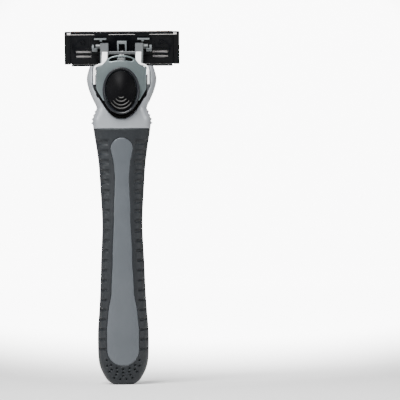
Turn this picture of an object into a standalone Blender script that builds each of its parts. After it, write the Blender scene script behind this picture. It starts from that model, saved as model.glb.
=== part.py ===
"""Cartridge razor, modelled in parts.

The razor stands on its butt with the head up: +Z runs along the handle, +X is the width,
the thumb side faces -Y and the blades face +Y.  The origin is the middle of the flat on the
butt.  Sizes below are in millimetres and become metres when a mesh is made.
"""
import math

import bmesh
import bpy
from mathutils import Vector

MM = 0.001
GAP = 0.3                    # clearance between pieces that rest on each other

# Handle outline: height, half width, thumb-side Y, blade-side Y
HANDLE_STATIONS = (
    (0.0, 3.6, -2.2, 2.2),
    (1.2, 5.5, -3.2, 4.2),
    (3.0, 6.9, -3.9, 6.0),
    (6.0, 8.4, -4.4, 8.0),
    (9.0, 9.1, -4.7, 9.2),
    (14.0, 9.35, -4.9, 10.0),
    (20.0, 9.3, -5.0, 9.8),
    (26.0, 8.85, -5.3, 8.9),
    (32.0, 8.45, -5.6, 7.6),
    (38.0, 8.2, -5.9, 6.3),
    (44.0, 8.0, -6.0, 5.0),
    (50.0, 7.7, -6.1, 3.9),
    (57.0, 7.4, -6.1, 3.1),
    (63.0, 7.5, -5.9, 3.0),
    (69.0, 7.85, -5.4, 3.8),
    (75.0, 8.2, -4.9, 4.9),
    (81.0, 8.65, -4.5, 5.9),
    (87.0, 9.45, -4.2, 6.7),
    (93.5, 10.45, -4.3, 7.3),
    (97.0, 10.6, -4.5, 7.7),
    (101.0, 9.2, -4.6, 8.4),
    (104.0, 10.5, -4.5, 9.5),
    (108.0, 12.1, -4.2, 10.9),
    (112.0, 12.8, -3.8, 11.9),
    (116.5, 11.7, -3.4, 12.6),
)
GRIP_SQUARENESS = 2.5        # exponent of the grip's rounded section
NECK_SQUARENESS = 3.2
Z_GRIP_TOP = 93.5            # the rubber ends here against the collar
Z_NECK_TOP = 116.5
SHELL_WALL = 1.8
SPLIT_FRACTION = 0.1         # the shell meets the rubber this far in front of mid-depth
SECTION_POINTS = 28
CORE_BOTTOM = 7.0
CORE_TOP = 91.5

# Slots in the rear shell, from the neck down: they smile at the neck and frown at the club
SLOT_TOP_Z = 91.0
SLOT_BOTTOM_Z = 3.2
SLOT_COUNT = 22
SLOT_HEIGHT = 2.3
SLOT_REACH = 0.8             # of the half width
SLOT_SMILE = 1.5
SLOT_FROWN = -2.6

# Neck: cavity, wings, V slits and window
CAVITY_FLOOR = 99.5
NECK_WALL = 1.9
WING_TOP_LINE = ((-12.0, 122.6), (20.0, 108.7))    # Y, Z: the wings are cut off along it
WINDOW = (-2.3, 2.3, 94.5, 102.0)  # X and Z of the rectangular window under the spine
SPINE_TOP = 106.0

# Thumb side of the head
RECESS_OUTLINE = ((-10.6, 125.0), (-10.6, 109.4), (-9.5, 107.4), (-6.6, 102.6), (-4.4, 99.3),
                  (-2.3, 97.8), (0.0, 97.4), (2.3, 97.8), (4.4, 99.3), (6.6, 102.6),
                  (9.5, 107.4), (10.6, 109.4), (10.6, 125.0))
TROUGH_OUTLINE = ((-9.4, 116.3), (-9.4, 108.0), (-6.6, 102.6), (-4.4, 99.3), (-2.3, 97.8),
                  (0.0, 97.4), (2.3, 97.8), (4.4, 99.3), (6.6, 102.6), (9.4, 108.0),
                  (9.4, 116.3))
TROUGH_Y = (-2.85, -1.55)
TROUGH_FLOOR_Y = -2.2
COVER_OUTLINE = ((-9.1, 107.8), (-6.6, 103.6), (6.6, 103.6), (9.1, 107.8), (9.2, 115.2),
                 (8.2, 116.2), (6.6, 116.9), (5.5, 118.0), (4.4, 119.3), (2.6, 120.0),
                 (0.0, 120.2), (-2.6, 120.0), (-4.4, 119.3), (-5.5, 118.0), (-6.6, 116.9),
                 (-8.2, 116.2), (-9.2, 115.2))
COVER_FRONT_Y = -5.6
COVER_THICKNESS = 1.1
COVER_BOW = 0.013            # per mm of X squared
COVER_LEAN = 0.012           # per mm above COVER_LEAN_Z squared
COVER_LEAN_Z = 112.0

# Release button
BUTTON_CENTRE_Z = 107.2
BUTTON_HALF = (5.5, 7.3)
RING_HALF = (6.8, 8.6)
RING_BACK_Y = -6.0
RING_FRONT_Y = -7.0
DOME_FRONT_Y = -8.6
STEM_HALF = 2.0              # the button's stem through the cover and the trough
STEM_Z = (104.2, 108.8)
STEM_SLOT_HALF = 2.8
STEM_SLOT_TOP = 113.0

# Ejector plate behind the trough, moved by the button
EJECTOR_Y = (-1.2, 0.2)
EJECTOR_OUTLINE = ((-4.4, 103.0), (4.4, 103.0), (4.4, 118.4), (-4.4, 118.4))
EJECTOR_WINDOW = ((-2.1, 109.4), (2.1, 109.4), (2.1, 115.4), (-2.1, 115.4))
EJECTOR_FLANGE = ((-7.3, 103.0), (7.3, 103.0), (7.3, 104.8), (-7.3, 104.8))
EJECTOR_FLANGE_BACK_Y = 4.2
EJECTOR_TAB = ((-1.1, 117.0), (1.1, 117.0), (1.1, 119.4), (-1.1, 119.4))
EJECTOR_TAB_FRONT_Y = -3.3
BUTTON_SPRING_START = (0.0, 2.2, 105.4)
BUTTON_SPRING_LENGTH = 7.3

# Pivot and cartridge
PIVOT_Y = 11.8
PIVOT_Z = 124.0
FACE_TILT = math.radians(11.6)     # the blade face looks this far above the horizontal
PIN_RADIUS = 0.9
PIN_REACH = 9.7
ARM_NOSE_RADIUS = 1.3
ARM_INNER = 4.9
ARM_OUTER = 7.9
CARTRIDGE_HALF = 21.25
END_CAP_WIDTH = 2.3
INNER_HALF = CARTRIDGE_HALF - END_CAP_WIDTH - GAP  # half width between the end caps
BLADE_HALF = INNER_HALF - 1.2
FACE_BOTTOM = -7.2
FACE_TOP = 4.9
BACK_Y = 1.6                 # back of the cartridge, in its own frame
FRONT_Y = 5.9
BLADE_COUNT = 3
BLADE_PITCH = 1.65
BLADE_FIRST_Z = 0.95
BLADE_TILT = math.radians(24)
BLADE_DEPTH = 5.0            # middle of a blade, from the pivot towards the skin
SUPPORT_ROOT = 3.2

# Plunger that swings the cartridge back
PLUNGER_TILT = math.radians(35)
PLUNGER_TIP = (13.46, 122.03)      # Y, Z of the nose
PLUNGER_RADIUS = 0.85
PLUNGER_LENGTH = 7.5
GUIDE_RADIUS = 1.9
GUIDE_BORE = 1.15
GUIDE_FRONT = 5.7            # the guide starts this far behind the nose
GUIDE_BACK = 12.0
GUIDE_WEB = ((5.6, 106.6), (8.6, 106.6), (8.2, 116.6), (5.2, 114.6))   # Y, Z
PLUNGER_SPRING_BACK = 10.7   # the spring starts this far behind the nose
PLUNGER_SPRING_LENGTH = 2.8

GREY = (0.40, 0.42, 0.45)
SILVER = (0.62, 0.64, 0.66)
BLACK = (0.012, 0.012, 0.014)
CHARCOAL = (0.045, 0.047, 0.052)
DARK_GREY = (0.10, 0.105, 0.115)
LIGHT_GREY = (0.36, 0.37, 0.39)
STEEL = (0.72, 0.72, 0.70)
ORANGE = (0.95, 0.33, 0.01)
LIGHT_BLUE = (0.35, 0.52, 0.70)
WHITE = (0.8, 0.8, 0.8)


# ---------------------------------------------------------------- general tools

def clear_scene():
    for item in list(bpy.data.objects):
        bpy.data.objects.remove(item, do_unlink=True)


def make_material(name, colour, roughness, metallic=0.0):
    material = bpy.data.materials.new(name)
    material.use_nodes = True
    shader = material.node_tree.nodes["Principled BSDF"]
    shader.inputs["Base Color"].default_value = (*colour, 1.0)
    shader.inputs["Roughness"].default_value = roughness
    shader.inputs["Metallic"].default_value = metallic
    return material


def make_empty(name, place, tilt=0.0):
    empty = bpy.data.objects.new(name, None)
    empty.location = Vector(place) * MM
    empty.rotation_euler = (tilt, 0.0, 0.0)
    bpy.context.collection.objects.link(empty)
    return empty


def mesh_object(name, points, faces, parent=None, smooth=False):
    """A closed mesh from points in millimetres, in the parent's frame."""
    mesh = bpy.data.meshes.new(name)
    mesh.from_pydata([Vector(point) * MM for point in points], [], faces)
    work = bmesh.new()
    work.from_mesh(mesh)
    bmesh.ops.recalc_face_normals(work, faces=work.faces)
    work.to_mesh(mesh)
    work.free()
    if smooth:
        mesh.shade_smooth()
        mesh.set_sharp_from_angle(angle=math.radians(35))
    item = bpy.data.objects.new(name, mesh)
    bpy.context.collection.objects.link(item)
    item.parent = parent
    return item


def loft(name, rings, parent=None, smooth=True):
    """Skin a stack of closed rings with equal point counts and cap both ends."""
    count = len(rings[0])
    points = [point for ring in rings for point in ring]
    faces = []
    for level in range(len(rings) - 1):
        low = level * count
        for index in range(count):
            following = (index + 1) % count
            faces.append((low + index, low + following,
                          low + count + following, low + count + index))
    faces.append(tuple(range(count)))
    faces.append(tuple(range(len(points) - count, len(points))))
    return mesh_object(name, points, faces, parent, smooth)


def prism_y(name, outline, y_low, y_high, parent=None):
    """Extrude an outline of (x, z) points along Y."""
    rings = [[(x, y, z) for x, z in outline] for y in (y_low, y_high)]
    return loft(name, rings, parent, smooth=False)


def prism_x(name, outline, x_low, x_high, parent=None):
    """Extrude an outline of (y, z) points along X."""
    rings = [[(x, y, z) for y, z in outline] for x in (x_low, x_high)]
    return loft(name, rings, parent, smooth=False)


def box(name, low, high, parent=None):
    outline = ((low[0], low[2]), (high[0], low[2]), (high[0], high[2]), (low[0], high[2]))
    return prism_y(name, outline, low[1], high[1], parent)


def ellipse(half_x, half_z, centre_z, count):
    angles = [2.0 * math.pi * index / count for index in range(count)]
    return [(half_x * math.cos(a), centre_z + half_z * math.sin(a)) for a in angles]


def rod(name, start, end, radius, sides=16, parent=None, hollow=0.0):
    """A cylinder, or a tube when hollow is its inner radius, between two points."""
    axis = Vector(end) - Vector(start)
    turn = axis.to_track_quat("Z", "Y").to_matrix()

    def ring(centre, size):
        angles = [2.0 * math.pi * index / sides for index in range(sides)]
        return [tuple(centre + turn @ Vector((size * math.cos(a), size * math.sin(a), 0.0)))
                for a in angles]

    start, end = Vector(start), Vector(end)
    if not hollow:
        return loft(name, [ring(start, radius), ring(end, radius)], parent)
    rings = [ring(start, radius), ring(end, radius), ring(end, hollow), ring(start, hollow)]
    points = [point for each in rings for point in each]
    faces = []
    for level in range(4):
        low, high = level * sides, (level + 1) % 4 * sides
        for index in range(sides):
            following = (index + 1) % sides
            faces.append((low + index, low + following, high + following, high + index))
    return mesh_object(name, points, faces, parent, smooth=True)


def combine(target, other, operation):
    """Boolean of target with other, which stays as a hidden guide."""
    modifier = target.modifiers.new(operation.lower() + "_" + other.name, "BOOLEAN")
    modifier.operation = operation
    modifier.solver = "EXACT"
    modifier.object = other
    other.hide_render = True
    other.display_type = "WIRE"


def cut(target, *cutters):
    for cutter in cutters:
        combine(target, cutter, "DIFFERENCE")


def join_to(target, *others):
    for other in others:
        combine(target, other, "UNION")


def paint(material, *items):
    for item in items:
        item.data.materials.clear()
        item.data.materials.append(material)


# ---------------------------------------------------------------- handle outline

def station_at(z):
    """Half width, thumb-side Y and blade-side Y at a height, on a smooth curve."""
    table = HANDLE_STATIONS
    z = min(max(z, table[0][0]), table[-1][0])
    index = max(i for i in range(len(table) - 1) if table[i][0] <= z)
    low, high = table[index], table[index + 1]
    before = table[max(index - 1, 0)]
    after = table[min(index + 2, len(table) - 1)]
    span = high[0] - low[0]
    t = (z - low[0]) / span
    result = []
    for column in (1, 2, 3):
        slope_low = (high[column] - before[column]) / (high[0] - before[0]) * span
        slope_high = (after[column] - low[column]) / (after[0] - low[0]) * span
        value = ((2 * t**3 - 3 * t**2 + 1) * low[column] + (t**3 - 2 * t**2 + t) * slope_low
                 + (3 * t**2 - 2 * t**3) * high[column] + (t**3 - t**2) * slope_high)
        result.append(value)
    return result


def squareness(z):
    share = min(max((z - 88.0) / 10.0, 0.0), 1.0)
    return GRIP_SQUARENESS + share * (NECK_SQUARENESS - GRIP_SQUARENESS)


def ring_at(z, inset=0.0, count=SECTION_POINTS):
    """Rounded section of the handle, moved inwards by inset."""
    half_x, front, back = station_at(z)
    half_x -= inset
    front += inset
    back -= inset
    middle, half_y = (front + back) / 2.0, (back - front) / 2.0
    power = 2.0 / squareness(z)
    ring = []
    for index in range(count):
        angle = 2.0 * math.pi * (index + 0.5) / count
        c, s = math.cos(angle), math.sin(angle)
        x = half_x * math.copysign(abs(c) ** power, c)
        y = middle + half_y * math.copysign(abs(s) ** power, s)
        ring.append((x, y, z))
    return ring


def levels(low, high, step):
    count = max(1, round((high - low) / step))
    return [low + (high - low) * index / count for index in range(count + 1)]


def body_levels(low, high):
    """Heights of the handle's rings: closer where the outline turns fast."""
    marks = [0.0, 0.5, 1.2, 2.0, 3.0, 4.4, 6.0, 8.0, 10.5, 14.0]
    marks += levels(18.0, 90.0, 4.5) + levels(Z_GRIP_TOP, Z_NECK_TOP, 1.9)
    inside = [z for z in marks if low + 0.2 < z < high - 0.2]
    return [low] + inside + [high]


def split_y(z):
    _, front, back = station_at(z)
    return (front + back) / 2.0 - SPLIT_FRACTION * (back - front) / 2.0


# ---------------------------------------------------------------- handle pieces

def slot_cutter(name, z, smile):
    half_x, _, back = station_at(z)
    reach = SLOT_REACH * half_x
    height = min(SLOT_HEIGHT, 1.0 + 0.35 * z)
    steps = [index / 4.0 for index in range(-4, 5)]
    top = [(t * reach, z + height / 2.0 * (1.0 - 0.3 * t**4) + smile * t * t) for t in steps]
    bottom = [(t * reach, z - height / 2.0 * (1.0 - 0.3 * t**4) + smile * t * t) for t in steps]
    outline = bottom + top[::-1]
    return prism_y(name, outline, split_y(z) + 1.2, back + 4.0)


def slot_shape(index):
    """Height and curve of a slot: smiling at the neck, frowning at the club."""
    share = index / (SLOT_COUNT - 1)
    z = SLOT_TOP_Z + (SLOT_BOTTOM_Z - SLOT_TOP_Z) * share
    if share < 0.7:
        smile = SLOT_SMILE + (SLOT_FROWN - SLOT_SMILE) * max(0.0, share - 0.15) / 0.55
    else:
        smile = SLOT_FROWN * (1.0 - 0.9 * (share - 0.7) / 0.3)
    return z, smile


def make_handle_shell(material):
    rings = [ring_at(z) for z in body_levels(0.0, Z_NECK_TOP)]
    shell = loft("handle_shell", rings)
    heights = levels(-1.0, Z_GRIP_TOP, 4.5)
    front_side = [(split_y(z), z) for z in heights] + [(-30.0, Z_GRIP_TOP), (-30.0, -1.0)]
    cut(shell, prism_x("grip_side_cut", front_side, -20.0, 20.0))
    inner = [ring_at(z, SHELL_WALL) for z in body_levels(CORE_BOTTOM - 0.8, Z_GRIP_TOP - 1.2)]
    cut(shell, loft("core_cavity", inner))
    for index in range(SLOT_COUNT):
        z, smile = slot_shape(index)
        cut(shell, slot_cutter("rear_slot_{:02d}".format(index + 1), z, smile))
    cut_neck(shell)
    paint(material, shell)
    return shell


def cut_neck(shell):
    rings = [ring_at(z, NECK_WALL) for z in body_levels(CAVITY_FLOOR, Z_NECK_TOP)]
    top = [(x, y, Z_NECK_TOP + 4.0) for x, y, _ in rings[-1]]
    cut(shell, loft("neck_cavity", rings + [top]))
    cut(shell, prism_y("trough_recess", RECESS_OUTLINE, -12.0, 1.0))
    slant = WING_TOP_LINE + ((20.0, 130.0), (-12.0, 130.0))
    cut(shell, prism_x("wing_top_cut", slant, -20.0, 20.0))
    x_low, x_high, z_low, z_high = WINDOW
    cut(shell, box("window_cut", (x_low, 3.0, z_low), (x_high, 15.0, z_high)))
    gap_outline = ((-2.6, SPINE_TOP), (2.6, SPINE_TOP), (6.0, 125.0), (-6.0, 125.0))
    cut(shell, prism_y("spine_gap_cut", gap_outline, 2.0, 20.0))
    for side in (-1.0, 1.0):
        slit = ((side * 2.6, SPINE_TOP + 1.0), (side * 3.9, SPINE_TOP + 1.0),
                (side * 6.4, 99.0), (side * 5.3, 98.4))
        cut(shell, prism_y("wing_slit_{}".format("left" if side < 0 else "right"),
                           slit, 3.0, 20.0))


def make_inner_core(material):
    inset = SHELL_WALL + GAP + 0.05
    core = loft("inner_core", [ring_at(z, inset, 20) for z in body_levels(CORE_BOTTOM, CORE_TOP)])
    paint(material, core)
    return core


def make_grip_rubber(material):
    heights = body_levels(0.9, Z_GRIP_TOP - GAP)
    rubber = loft("grip_rubber", [ring_at(z) for z in heights])
    back_side = [(split_y(z) - GAP, z) for z in levels(-1.0, 96.0, 4.5)]
    cut(rubber, prism_x("shell_side_cut", back_side + [(30.0, 96.0), (30.0, -1.0)], -20.0, 20.0))
    inner = [ring_at(z, SHELL_WALL - 0.05, 20) for z in body_levels(CORE_BOTTOM - 0.6, 95.0)]
    cut(rubber, loft("grip_core_cut", inner))
    cut(rubber, prism_y("inlay_recess", inlay_outline(GAP), -20.0, 0.0))
    paint(material, rubber)
    return rubber


def inlay_half_width(z):
    """Half width of the inlay: a round head, a narrow neck and a wide foot."""
    table = ((12.0, 5.75), (20.0, 5.75), (26.0, 5.2), (34.0, 4.0), (46.0, 3.5), (62.0, 2.9),
             (76.0, 2.45), (80.0, 2.8), (86.5, 3.9))
    for (z0, w0), (z1, w1) in zip(table, table[1:]):
        if z <= z1:
            return w0 + (w1 - w0) * max(0.0, z - z0) / (z1 - z0)
    return table[-1][1]


def inlay_outline(margin):
    side = [(inlay_half_width(z) + margin, z) for z in (14.0, 20.0, 26.0, 34.0, 46.0, 62.0,
                                                        76.0, 80.0, 84.0)]
    head = [(3.9 + margin, 86.2), (3.0 + margin, 88.9 + margin), (1.3, 90.0 + margin)]
    foot = [(1.9, 7.0 - margin), (4.2, 8.6 - margin), (5.5 + margin * 0.7, 11.2)]
    right = foot + side + head
    return right + [(-x, z) for x, z in right[::-1]]


def make_grip_inlay(material):
    inlay = prism_y("grip_inlay", inlay_outline(0.0), -20.0, 0.0)
    outer = loft("inlay_outer", [ring_at(z, 0.15, 24) for z in body_levels(2.0, 93.0)])
    combine(inlay, outer, "INTERSECT")
    inner = [ring_at(z, SHELL_WALL - 0.05, 20) for z in body_levels(2.0, 95.0)]
    cut(inlay, loft("inlay_core_cut", inner))
    paint(material, inlay)
    return inlay


def cover_slab(name, thickness_front, thickness_back):
    """A plate bowed across X that leans back towards its top."""
    rings = []
    for z in levels(100.0, 122.0, 2.75):
        lean = COVER_LEAN * max(0.0, z - COVER_LEAN_Z) ** 2
        xs = levels(-12.0, 12.0, 2.4)
        front = [(x, COVER_FRONT_Y + thickness_front + COVER_BOW * x * x + lean, z) for x in xs]
        back = [(x, COVER_FRONT_Y + thickness_back + COVER_BOW * x * x + lean, z) for x in xs]
        rings.append(front + back[::-1])
    return loft(name, rings)


def make_head_cover(material):
    cover = cover_slab("head_cover", 0.0, COVER_THICKNESS)
    combine(cover, prism_y("cover_outline", COVER_OUTLINE, -12.0, 2.0), "INTERSECT")
    cut(cover, box("cover_stem_notch", (-STEM_SLOT_HALF, -12.0, 100.0),
                   (STEM_SLOT_HALF, 2.0, STEM_SLOT_TOP)))
    arc = [(x, 118.9 - 0.03 * x * x) for x in levels(-4.4, 4.4, 1.1)]
    outline = [(x, z - 0.5) for x, z in arc] + [(x, z + 0.5) for x, z in arc[::-1]]
    cut(cover, prism_y("cover_arc_slot", outline, -12.0, 2.0))
    paint(material, cover)
    return cover


def shrink(outline, margin, centre=(0.0, 108.5)):
    """Outline moved towards its middle by about the margin on every side."""
    reach_x = max(abs(x - centre[0]) for x, _ in outline)
    reach_z = max(abs(z - centre[1]) for _, z in outline)
    scale_x = (reach_x - margin) / reach_x
    scale_z = (reach_z - margin) / reach_z
    return [(centre[0] + (x - centre[0]) * scale_x, centre[1] + (z - centre[1]) * scale_z)
            for x, z in outline]


def make_button_trough(material):
    trough = prism_y("button_trough", shrink(TROUGH_OUTLINE, 0.6), *TROUGH_Y)
    cut(trough, prism_y("trough_hollow", shrink(TROUGH_OUTLINE, 1.5), -12.0, TROUGH_FLOOR_Y))
    cut(trough, box("trough_stem_slot", (-STEM_SLOT_HALF, -12.0, 103.6),
                    (STEM_SLOT_HALF, 2.0, STEM_SLOT_TOP)))
    seat = box("spring_seat", (-1.5, -2.4, 113.4), (1.5, 3.0, 114.7))
    join_to(trough, seat)
    paint(material, trough)
    return trough


def make_plunger_guide(material):
    axis = plunger_axis()
    tip = Vector((0.0, *PLUNGER_TIP))
    front, back = tip - axis * GUIDE_FRONT, tip - axis * GUIDE_BACK
    guide = rod("plunger_guide", tuple(back), tuple(front), GUIDE_RADIUS, 20)
    join_to(guide, prism_x("guide_web", GUIDE_WEB, -0.8, 0.8))
    cut(guide, rod("guide_bore", tuple(tip - axis * (GUIDE_BACK - 1.0)), tuple(tip),
                   GUIDE_BORE, 20))
    paint(material, guide)
    return guide


def coil(name, start, axis, length, radius, wire, turns, parent=None):
    """A round wire wound along an axis."""
    turn = axis.to_track_quat("Z", "Y").to_matrix()
    sides, steps = 6, 10
    rings = []
    for index in range(turns * steps + 1):
        angle = 2.0 * math.pi * index / steps
        outward = Vector((math.cos(angle), math.sin(angle), 0.0))
        climb = length * index / (turns * steps)
        centre = outward * radius + Vector((0.0, 0.0, climb))
        ring = []
        for side in range(sides):
            around = 2.0 * math.pi * side / sides
            offset = outward * math.cos(around) + Vector((0.0, 0.0, math.sin(around)))
            ring.append(tuple(Vector(start) + turn @ (centre + offset * wire)))
        rings.append(ring)
    return loft(name, rings, parent)


# ---------------------------------------------------------------- release button

def make_button(parent, black, dark_grey, white):
    place = Vector(parent.location) / MM

    def local(outline):
        return [(x - place.x, z - place.z) for x, z in outline]

    def ring_of(half, y, count=32):
        return [(x, y - place.y, z - place.z)
                for x, z in ellipse(half[0], half[1], BUTTON_CENTRE_Z, count)]

    ring = loft("button_ring", [ring_of(RING_HALF, RING_BACK_Y),
                                ring_of((RING_HALF[0] - 0.3, RING_HALF[1] - 0.3), RING_FRONT_Y)],
                parent)
    bore = loft("ring_bore", [ring_of((BUTTON_HALF[0] + GAP, BUTTON_HALF[1] + GAP), y)
                              for y in (-12.0, -2.0)], parent)
    cut(ring, bore)
    paint(dark_grey, ring)

    depth = RING_BACK_Y - DOME_FRONT_Y
    dome_edge = 0.6
    slices = []
    for angle in levels(0.0, 80.0, 16.0):
        share = math.cos(math.radians(angle))
        rise = (depth - dome_edge) * math.sin(math.radians(angle))
        half = (BUTTON_HALF[0] * share, BUTTON_HALF[1] * share)
        slices.append(ring_of(half, RING_BACK_Y - dome_edge - rise))
    dome = loft("button_dome", [ring_of(BUTTON_HALF, RING_BACK_Y)] + slices, parent)
    paint(black, dome)

    back, front = (y - place.y for y in EJECTOR_Y)
    middle = (back + front) / 2.0
    ejector = prism_y("ejector", local(EJECTOR_OUTLINE), back, front, parent)
    cut(ejector, prism_y("ejector_window", local(EJECTOR_WINDOW), back - 4.0, front + 4.0, parent))
    stem = box("ejector_stem", (-STEM_HALF, GAP, STEM_Z[0] - place.z),
               (STEM_HALF, middle, STEM_Z[1] - place.z), parent)
    flange = prism_y("ejector_flange", local(EJECTOR_FLANGE), middle,
                     EJECTOR_FLANGE_BACK_Y - place.y, parent)
    tab = prism_y("ejector_tab", local(EJECTOR_TAB), EJECTOR_TAB_FRONT_Y - place.y, middle, parent)
    join_to(ejector, stem, flange, tab)
    paint(white, ejector)


# ---------------------------------------------------------------- plunger

def plunger_axis():
    return Vector((0.0, math.cos(PLUNGER_TILT), math.sin(PLUNGER_TILT)))


def make_plunger(parent, material):
    """A pin with a round nose; its parent stands at the nose."""
    turn = plunger_axis().to_track_quat("Z", "Y").to_matrix()
    profile = [(PLUNGER_RADIUS, -PLUNGER_LENGTH), (PLUNGER_RADIUS, -PLUNGER_RADIUS)]
    profile += [(PLUNGER_RADIUS * math.cos(math.radians(angle)),
                 PLUNGER_RADIUS * (math.sin(math.radians(angle)) - 1.0))
                for angle in (25.0, 50.0, 75.0)]
    rings = []
    for radius, along in profile:
        ring = []
        for index in range(16):
            angle = 2.0 * math.pi * index / 16
            spot = Vector((radius * math.cos(angle), radius * math.sin(angle), along))
            ring.append(tuple(turn @ spot))
        rings.append(ring)
    plunger = loft("plunger", rings, parent)
    paint(material, plunger)


# ---------------------------------------------------------------- yoke

def arm_outline():
    """Side view of a yoke arm in (y, z), measured from the pivot."""
    foot_y, foot_z = 3.1 - PIVOT_Y, 109.2 - PIVOT_Z
    knee_z = 115.4 - PIVOT_Z
    nose = [(ARM_NOSE_RADIUS * math.cos(a), ARM_NOSE_RADIUS * math.sin(a))
            for a in [math.radians(angle) for angle in levels(-45.0, 135.0, 30.0)]]
    return [(foot_y - 0.9, foot_z), (foot_y + 0.9, foot_z), (foot_y + 0.9, knee_z)] + nose + [
        (foot_y - 0.9, knee_z + 1.0)]


def arm_gusset(name, side, parent):
    """The sloped rib in front of an arm."""
    outline = [(y - PIVOT_Y, z - PIVOT_Z) for y, z in
               ((-2.3, 116.5), (4.0, 116.4), (8.6, 121.0), (7.6, 121.9), (4.6, 120.4),
                (1.0, 118.4), (-1.6, 117.4))]
    low, high = sorted((side * 5.2, side * 7.2))
    return prism_x(name, outline, low, high, parent)


def arm_flank(name, side, parent):
    """The band that runs from an arm's rib over the shoulder and down beside the cover."""
    outline = ((6.2, 117.5), (8.5, 116.95), (9.8, 116.1), (10.25, 114.8), (10.25, 109.6),
               (9.45, 109.6), (9.45, 114.8), (9.2, 115.6), (8.2, 116.4), (6.2, 116.4))
    outline = [(side * x, z - PIVOT_Z) for x, z in outline]
    return prism_y(name, outline, -2.3 - PIVOT_Y, 0.6 - PIVOT_Y, parent)


def make_yoke(parent, material):
    yoke = prism_x("yoke", arm_outline(), -ARM_OUTER, -ARM_INNER, parent)
    right = prism_x("yoke_right_arm", arm_outline(), ARM_INNER, ARM_OUTER, parent)
    bar = box("yoke_cross_bar", (-5.4, 8.8 - PIVOT_Y, 121.0 - PIVOT_Z),
              (5.4, 9.9 - PIVOT_Y, 122.1 - PIVOT_Z), parent)
    left_pin = rod("yoke_left_pin", (-PIN_REACH, 0.0, 0.0), (-ARM_INNER - 0.5, 0.0, 0.0),
                   PIN_RADIUS, 16, parent)
    right_pin = rod("yoke_right_pin", (ARM_INNER + 0.5, 0.0, 0.0), (PIN_REACH, 0.0, 0.0),
                    PIN_RADIUS, 16, parent)
    join_to(yoke, bar, right, left_pin, right_pin)
    for name, side in (("left", -1.0), ("right", 1.0)):
        join_to(yoke, arm_gusset("yoke_gusset_" + name, side, parent))
        join_to(yoke, arm_flank("yoke_flank_" + name, side, parent))
    paint(material, yoke)


# ---------------------------------------------------------------- cartridge

def make_end_caps(parent, material):
    outline = ((BACK_Y, FACE_BOTTOM + 0.9), (BACK_Y, FACE_TOP - 1.0), (BACK_Y + 1.2, FACE_TOP),
               (FRONT_Y - 1.3, FACE_TOP), (FRONT_Y - 0.3, FACE_TOP - 0.8),
               (FRONT_Y + 0.2, FACE_TOP - 2.4), (FRONT_Y + 0.2, FACE_BOTTOM + 2.2),
               (FRONT_Y - 0.4, FACE_BOTTOM + 0.7), (FRONT_Y - 1.4, FACE_BOTTOM),
               (BACK_Y + 0.9, FACE_BOTTOM))
    inner = CARTRIDGE_HALF - END_CAP_WIDTH
    for name, low, high in (("end_cap_left", -CARTRIDGE_HALF, -inner),
                            ("end_cap_right", inner, CARTRIDGE_HALF)):
        cap = prism_x(name, outline, low, high, parent)
        bevel = cap.modifiers.new("edge", "BEVEL")
        bevel.width = 0.3 * MM
        bevel.segments = 1
        paint(material, cap)


def make_housing(parent, material):
    housing = box("cartridge_housing", (-INNER_HALF, BACK_Y + 1.3, FACE_BOTTOM + 0.3),
                  (INNER_HALF, FRONT_Y - 0.8, FACE_TOP), parent)
    cut(housing, box("housing_window", (-INNER_HALF + 0.8, 0.0, -4.3),
                     (INNER_HALF - 0.8, 8.0, 2.1), parent))
    paint(material, housing)


def make_back_cover(parent, material):
    cover = box("back_cover", (-INNER_HALF, BACK_Y, FACE_BOTTOM + 0.3),
                (INNER_HALF, BACK_Y + 1.0, FACE_TOP), parent)
    for side in (-1.0, 1.0):
        for number, z in enumerate((-2.35, -4.1)):
            x_low, x_high = sorted((side * 11.3, side * 17.0))
            name = "rinse_slot_{}_{}".format("left" if side < 0 else "right", number + 1)
            cut(cover, box(name, (x_low, 0.0, z - 0.4), (x_high, 4.0, z + 0.4), parent))
    paint(material, cover)


def blade_point(centre_z, along, outward):
    """A point beside a blade: along it to the edge, and outward from its face."""
    return (BLADE_DEPTH + along * math.sin(BLADE_TILT) + outward * math.cos(BLADE_TILT),
            centre_z - along * math.cos(BLADE_TILT) + outward * math.sin(BLADE_TILT))


def make_blades(parent, steel):
    for number in range(BLADE_COUNT):
        z = BLADE_FIRST_Z - number * BLADE_PITCH
        outline = [blade_point(z, *spot) for spot in
                   ((-0.6, -0.13), (0.45, -0.13), (0.68, 0.0), (0.45, 0.13), (-0.6, 0.13))]
        blade = prism_x("blade_{}".format(number + 1), outline, -BLADE_HALF, BLADE_HALF,
                        parent)
        tip_out = blade_point(z, 0.3, -0.45)
        tip_in = blade_point(z, 0.3, -0.75)
        bend_out = blade_point(z, -0.6, -0.45)
        outline = [tip_out, bend_out, (SUPPORT_ROOT, bend_out[1]),
                   (SUPPORT_ROOT, bend_out[1] - 0.32), (4.2, bend_out[1] - 0.32), tip_in]
        support = prism_x("blade_support_{}".format(number + 1), outline, -BLADE_HALF,
                          BLADE_HALF, parent)
        paint(steel, blade, support)


def make_strips(parent, orange, blue, black):
    half = INNER_HALF - 0.2
    front = FRONT_Y - 0.8 + GAP
    strip = prism_x("lubricating_strip",
                    ((front, 2.45), (front + 0.75, 2.6), (front + 0.75, 4.1), (front, FACE_TOP)),
                    -half, half, parent)
    paint(orange, strip)
    guard = prism_x("guard_rubber",
                    ((front, -6.8), (front + 0.7, -6.5), (front + 0.85, -4.9), (front, -4.6)),
                    -half, half, parent)
    paint(blue, guard)
    base = box("guard_base", (-INNER_HALF, BACK_Y + 0.6, FACE_BOTTOM - 0.6),
               (INNER_HALF, FRONT_Y - 0.3, FACE_BOTTOM), parent)
    paint(black, base)


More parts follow.
